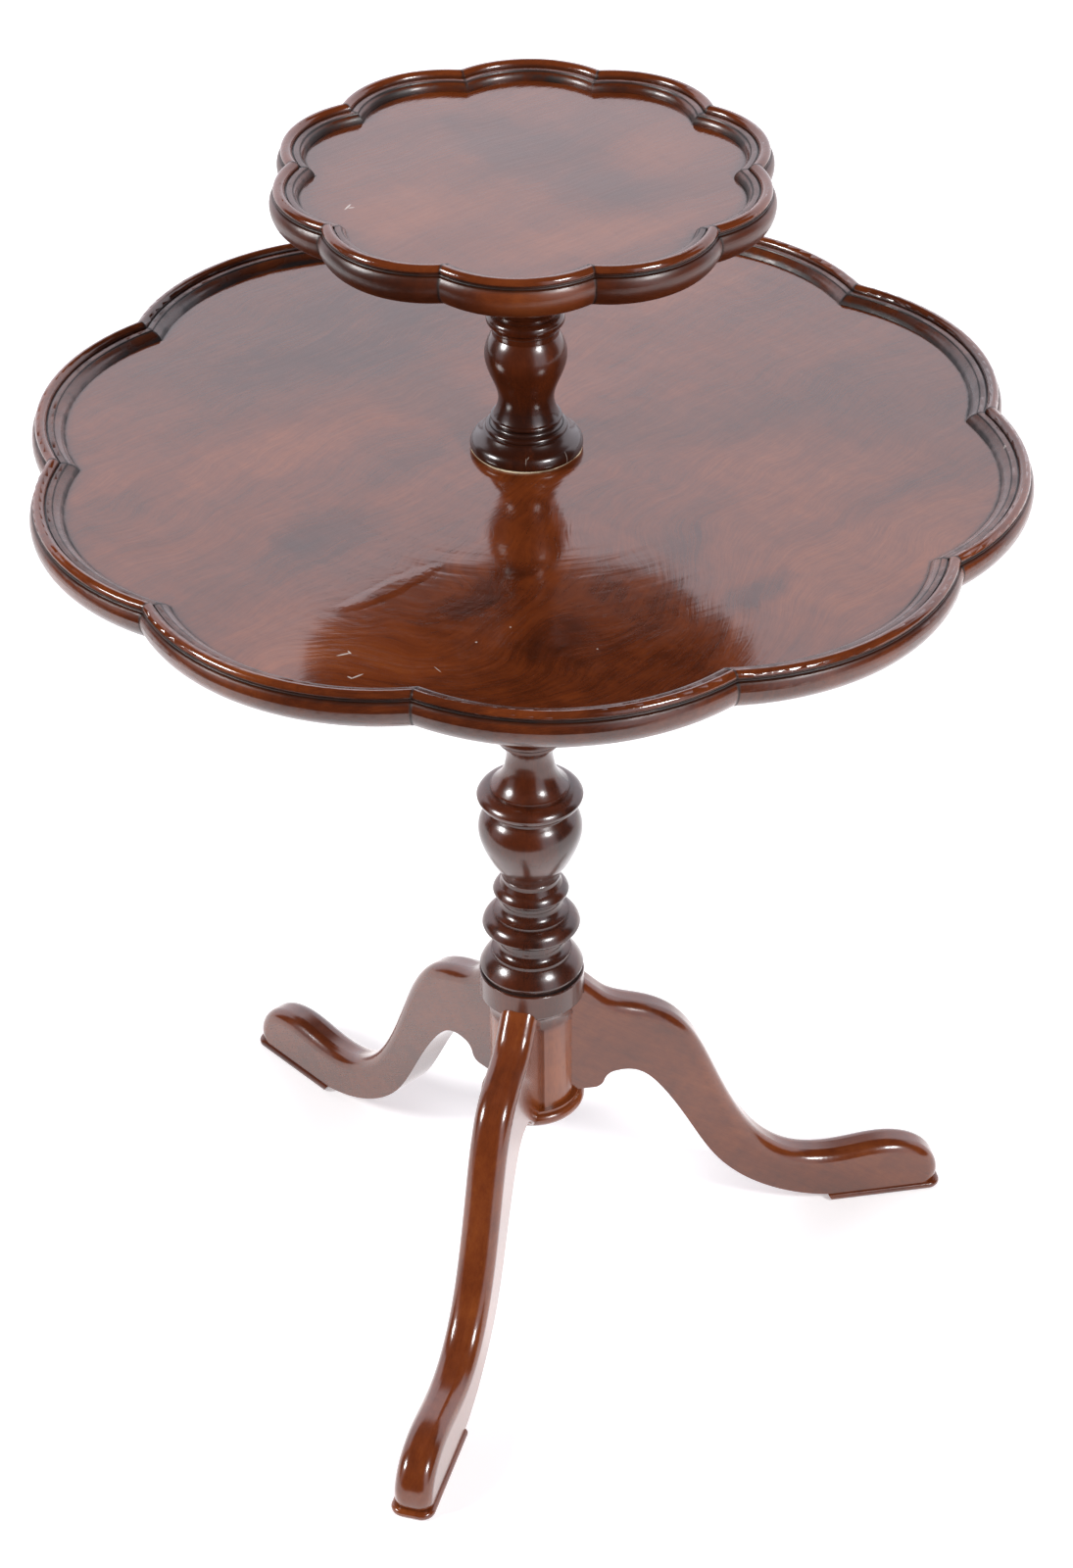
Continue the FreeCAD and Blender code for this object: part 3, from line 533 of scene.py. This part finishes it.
# on the outside of the rim: painted light at the front, deeper painted shade at the left
UPPER_EDGE_LIGHT_AND_SHADE = [(10, -148, 50, 22, 0, -0.34), (-88, -122, 66, 34, -36, 0.24)]
UPPER_SCRATCHES = [(-100, -36, 4.5, 0.7, 65), (-98, -37, 2.2, 0.6, 10)]
UPPER_SCRATCH_SHARE = 0.75

upper_tray_wood, surface, place = open_material("upper_tray_wood")
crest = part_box("upper_tray")[1].z * MM
along, across, depth = place.turned(z=UPPER_GRAIN_TURN, shift=UPPER_GRAIN_SHIFT).axes()
grain = vector(along, across + varied(place, *UPPER_WARP), depth)
tone = wood_tone(grain, cloud=0.7, streak=0.65) + UPPER_LIGHTENING
tone = smudged(place, tone, UPPER_SMUDGES)
# dark wax and painted shade in the rim's quirks, hollows and mitres
waxed_and_shaded, outside = rim_wax_and_shade(
    place, UPPER_TRAY_RADIUS, UPPER_LOBE_RADIUS, UPPER_TRAY_TURN, UPPER_DISH_INSET, crest)
# the outside of the rim is darkened with painted shade, lighter at the front and darker at the
# left
edge = smudged(place, -UPPER_OUTSIDE_PAINTED_SHADE, UPPER_EDGE_LIGHT_AND_SHADE)
polished(
    surface, tone + outside * edge, grain, waxed_and_shaded, worn=outside,
    chips=nicks(place, UPPER_SCRATCHES) * UPPER_SCRATCH_SHARE)
finish("upper_tray", upper_tray_wood)

# --- pillars and base cap ----------------------------------------------------
# Turned from the square in the lathe, so the grain runs up them; every quirk
# and fillet is darkened by how closed it is, with wax and stain and with painted shade.

TURNED_SHIFTS = {"lower_pillar": 0.0, "upper_pillar": 320.0, "pillar_base_cap": 55.0}
TURNED_GLOSS = 0.23
TURNED_SKIN = 0.22
TURNED_DARKENING = 0.34
QUIRK_WAX_AND_SHADE_REACH = 0.0052              # in metres, how wide a quirk holds dark wax and painted shade
QUIRK_WAX_AND_SHADE_START = (0.3, 0.66)         # how closed a corner is where dark wax and painted shade start, and cover it
QUIRK_WAX_AND_SHADE_SHARE = 0.97
DRUM_TOP = (229.0, 231.0)       # below this the pillar is lighter
DRUM_LIGHTENING = 0.15
SHAFT_TOP = (192.0, 200.0)      # and below this lighter still
SHAFT_LIGHTENING = 0.50
FOOT_HEIGHT = 640.0             # the upper pillar's foot is darkest
FOOT_SPREAD = 36.0
FOOT_DARKENING = 0.32
FOOT_CRACKS = {"upper_pillar": [
    (-0.5, -32.4, 1.6, 0.35, 84), (0.8, -31.0, 1.2, 0.3, 60), (23.5, -23.5, 1.8, 0.35, -50)]}
FOOT_CRACK_SHARE = 0.28
FOOT_CRACK_TOP = (639.0, 641.0)


def gathered_dirt_and_shade(place, reach, start, full, own_piece):
    """Where dirt gathers and shade is painted: 0 on an open face, 1 deep in a corner. The
    reach is in metres, and own_piece leaves out the corners that a piece makes with others."""
    openness = place.node(
        "ShaderNodeAmbientOcclusion", {"samples": 8, "only_local": own_piece},
        {"Distance": reach}, 1)
    return (1.0 - openness).rise(start, full)


for node, shift in TURNED_SHIFTS.items():
    material, surface, place = open_material(node + "_wood")
    grain = place.turned(y=90.0, shift=(shift, 0.3 * shift, shift))
    # dark wax and painted shade in the closed corners of the piece
    waxed_and_shaded = gathered_dirt_and_shade(place, QUIRK_WAX_AND_SHADE_REACH, *QUIRK_WAX_AND_SHADE_START, own_piece=True) * QUIRK_WAX_AND_SHADE_SHARE
    height = place.axes()[2]
    tone = wood_tone(grain, cloud=1.2, streak=0.7, mottle=0.2) - TURNED_DARKENING
    tone = tone + DRUM_LIGHTENING * (1.0 - height.rise(*DRUM_TOP))
    tone = tone + SHAFT_LIGHTENING * (1.0 - height.rise(*SHAFT_TOP))
    tone = tone - FOOT_DARKENING * height.line(FOOT_HEIGHT, FOOT_SPREAD)
    cracks = nicks(place, FOOT_CRACKS.get(node, [])) * FOOT_CRACK_SHARE
    polished(
        surface, tone, grain, waxed_and_shaded, gloss=TURNED_GLOSS, wave=0.0, skin=TURNED_SKIN,
        chips=cracks * (1.0 - height.rise(*FOOT_CRACK_TOP)))
    finish(node, material)

# --- legs and foot pads ------------------------------------------------------
# Sawn from one board with the grain along the sweep of each leg; thin nosed
# pads of the same wood are planted under the feet.

LEG_DIRECTIONS = {"front": -106.3, "right": 9.5, "left": 132.5}
# painted light: the front leg, which the lamps light most, is lightest, the left leg not
# lightened
LEG_PAINTED_LIGHT = {"front": 0.17, "right": 0.11, "left": 0.0}
LEG_GRAIN_SLOPES = {"leg": 34.0, "foot_pad": 0.0}
LEG_BOARD_STEP = 7.0            # for each degree, so that no two legs have the same figure
LEG_BOARD_DEPTH = 90.0
LEG_GLOSS = 0.20
LEG_WAVE = 0.0001
LEG_SKIN = 0.35
# dark dirt and painted shade in closed corners, for a leg also where it meets other pieces
LEG_DIRT_AND_SHADE_REACH = 0.004
LEG_DIRT_AND_SHADE_START = (0.45, 0.9)
LEG_DIRT_AND_SHADE_SHARE = 0.6

for side, direction in LEG_DIRECTIONS.items():
    for piece, slope in LEG_GRAIN_SLOPES.items():
        node = side + "_" + piece
        material, surface, place = open_material(node + "_wood")
        shift = (direction * LEG_BOARD_STEP, 0.0, LEG_BOARD_DEPTH)
        grain = place.turned(z=-direction).turned(y=-slope, shift=shift)
        # dark dirt and painted shade in closed corners, for a leg also where it meets other
        # pieces
        waxed_and_shaded = gathered_dirt_and_shade(place, LEG_DIRT_AND_SHADE_REACH, *LEG_DIRT_AND_SHADE_START, own_piece=piece == "foot_pad")
        # each leg is lightened with painted light as the lamps fall on it
        tone = wood_tone(grain, streak=0.6, mottle=0.36) + LEG_PAINTED_LIGHT[side]
        polished(
            surface, tone, grain, waxed_and_shaded * LEG_DIRT_AND_SHADE_SHARE,
            gloss=LEG_GLOSS, wave=LEG_WAVE, skin=LEG_SKIN)
        finish(node, material)

# --- hidden joinery ----------------------------------------------------------
# A round block of the same wood under each tray, screwed to it and bored for its
# pillar, with only a thin coat of polish; and the bare oak wedge in the upper tenon.

BEARER_STOPS = [(0.2, DARK_WOOD), (0.8, BROWN_WOOD)]
OAK_STOPS = [(0.2, (0.22, 0.12, 0.05)), (0.8, (0.40, 0.25, 0.12))]
HIDDEN_ROUGHNESS = 0.42
HIDDEN_VESSEL_SHADE = 0.5

for node, stops in {"lower_bearer": BEARER_STOPS, "upper_bearer": BEARER_STOPS,
                    "upper_tenon_wedge": OAK_STOPS}.items():
    material, surface, grain = open_material(node + "_wood")
    colour = wood_tone(grain).ramp(stops)
    colour = colour.mixed((*DARK_WOOD, 1.0), pores(grain) * HIDDEN_VESSEL_SHADE)
    colour.feeds(surface.inputs["Base Color"])
    surface.inputs["Roughness"].default_value = HIDDEN_ROUGHNESS
    finish(node, material)

# --- fastenings --------------------------------------------------------------
# Slotted steel screws hold the base cap and the bearers, and brass pins the foot
# pads. A steel stud joins the two stages in a brass insert. All are a little dull.

SCREW_STEEL = ((0.42, 0.40, 0.37), (0.16, 0.12, 0.09))      # bright, and tarnished
PIN_BRASS = ((0.62, 0.44, 0.20), (0.20, 0.13, 0.06))
INSERT_BRASS = ((0.70, 0.52, 0.25), (0.35, 0.24, 0.11))
STUD_STEEL = ((0.55, 0.55, 0.54), (0.28, 0.27, 0.26))
TARNISH = (0.25, 0.25, 0.25)    # changes per millimetre
TARNISH_EDGE = (0.35, 0.7)      # of the noise, where the metal is bright, and tarnished
BRIGHT_ROUGHNESS = 0.15
TARNISH_ROUGHNESS = 0.4

for node, (bright, tarnished) in {
        "base_cap_screws": SCREW_STEEL, "lower_bearer_screws": SCREW_STEEL,
        "upper_bearer_screws": SCREW_STEEL, "foot_pad_pins": PIN_BRASS,
        "threaded_insert": INSERT_BRASS, "joining_stud": STUD_STEEL}.items():
    material, surface, place = open_material(node + "_metal")
    surface.inputs["Metallic"].default_value = 1.0
    tarnish = place.scaled(*TARNISH).noise(4.0, 0.65)
    shade = tarnish.ramp(list(zip(TARNISH_EDGE, (bright, tarnished))))
    shade.feeds(surface.inputs["Base Color"])
    (tarnish * TARNISH_ROUGHNESS + BRIGHT_ROUGHNESS).feeds(surface.inputs["Roughness"])
    finish(node, material)

# --- seat washer -------------------------------------------------------------
# A ring of pale hide under the upper pillar's foot, knife-cut by hand, so that a
# thin uneven edge of it shows all round. The upper stage's weight holds it.

WASHER_RADIUS = 0.0336
WASHER_BORE = 0.017
WASHER_STEPS = 120
CUT_EDGE = 0.00022              # softened arris left by the knife
SLIPS = (                       # where the knife cut in, in degrees, and how far it left the edge
    (20.0, 0.965), (75.0, 0.975), (160.0, 0.982), (212.0, 0.974), (285.0, 0.986), (318.0, 0.966))
SLIP_HALF_WIDTH = 9.0           # in degrees
SLIP_FADE = 0.010               # in metres
WASHER_SMOOTH_ANGLE = 40.0
HIDE_PATCHES = (0.35, 0.35, 1.2)
HIDE_STOPS = [(0.25, (0.26, 0.19, 0.11)), (0.5, (0.60, 0.50, 0.34)), (0.8, (0.78, 0.70, 0.54))]
HIDE_STAIN = (0.10, 0.055, 0.030, 1.0)
HIDE_STAINS = (0.07, 0.07, 0.5)
HIDE_STAIN_EDGE = (0.52, 0.62)
HIDE_STAIN_SHARE = 0.8
HIDE_ROUGHNESS = 0.75
FIBRES = (2.0, 2.0, 4.0)
FIBRE_HEIGHT = 0.0002

washer_low, washer_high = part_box("seat_washer")
washer_middle = (washer_low.z + washer_high.z) / 2


def pick(piece, mode, wanted):
    """Selects the points, edges or faces of a piece that wanted says yes to."""
    bpy.ops.mesh.select_mode(type=mode)
    bpy.ops.mesh.select_all(action="DESELECT")
    shape = bmesh.from_edit_mesh(piece.data)
    for part in {"VERT": shape.verts, "EDGE": shape.edges, "FACE": shape.faces}[mode]:
        part.select_set(wanted(part))
    bmesh.update_edit_mesh(piece.data)


def runs_round_the_rim(edge):
    """Whether an edge lies along the outside, at the top or at the bottom."""
    outer = all(end.co.xy.length > 0.99 * WASHER_RADIUS for end in edge.verts)
    return outer and len({end.co.z > washer_middle for end in edge.verts}) == 1


def near_slip(point, direction):
    """Whether a point of the rim lies where the knife cut in."""
    towards = Vector((math.cos(math.radians(direction)), math.sin(math.radians(direction))))
    nearness = point.co.xy.normalized().dot(towards)
    return (point.co.xy.length > 0.9 * WASHER_RADIUS
            and nearness > math.cos(math.radians(SLIP_HALF_WIDTH)))


bpy.ops.object.select_all(action="DESELECT")
bpy.ops.mesh.primitive_cylinder_add(
    vertices=WASHER_STEPS, radius=WASHER_RADIUS, depth=washer_high.z - washer_low.z,
    location=(0.0, 0.0, washer_middle))
washer = bpy.context.object
washer.name = "hide_washer"
bpy.ops.object.transform_apply(location=True, rotation=False, scale=False)
bpy.ops.object.mode_set(mode="EDIT")
pick(washer, "FACE", lambda face: abs(face.normal.z) > 0.9)
bpy.ops.mesh.inset(thickness=WASHER_RADIUS - WASHER_BORE)
bpy.ops.mesh.bridge_edge_loops()
pick(washer, "EDGE", runs_round_the_rim)
bpy.ops.mesh.bevel(offset=CUT_EDGE, segments=2)
for direction, shrink in SLIPS:
    pick(washer, "VERT", lambda point: near_slip(point, direction))
    bpy.ops.transform.resize(
        value=(shrink, shrink, 1.0), center_override=(0.0, 0.0, washer_low.z),
        use_proportional_edit=True, proportional_edit_falloff="SMOOTH",
        proportional_size=SLIP_FADE)
bpy.ops.mesh.select_all(action="SELECT")
bpy.ops.mesh.normals_make_consistent(inside=False)
bpy.ops.object.mode_set(mode="OBJECT")
bpy.ops.object.shade_smooth_by_angle(angle=math.radians(WASHER_SMOOTH_ANGLE))

washer_hide, surface, place = open_material("washer_hide")
stains = place.scaled(*HIDE_STAINS).noise(3.0, 0.6).rise(*HIDE_STAIN_EDGE)
shade = place.scaled(*HIDE_PATCHES).noise(4.0, 0.6).ramp(HIDE_STOPS)
shade.mixed(HIDE_STAIN, stains * HIDE_STAIN_SHARE).feeds(surface.inputs["Base Color"])
fibres = place.scaled(*FIBRES).noise(3.0, 0.7) * FIBRE_HEIGHT
bump = place.node("ShaderNodeBump", {}, {"Strength": 0.6, "Distance": 1.0, "Height": fibres})
bump.feeds(surface.inputs["Normal"])
surface.inputs["Roughness"].default_value = HIDE_ROUGHNESS
washer.data.materials.append(washer_hide)
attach(washer, "screw_carrier")
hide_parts("seat_washer")
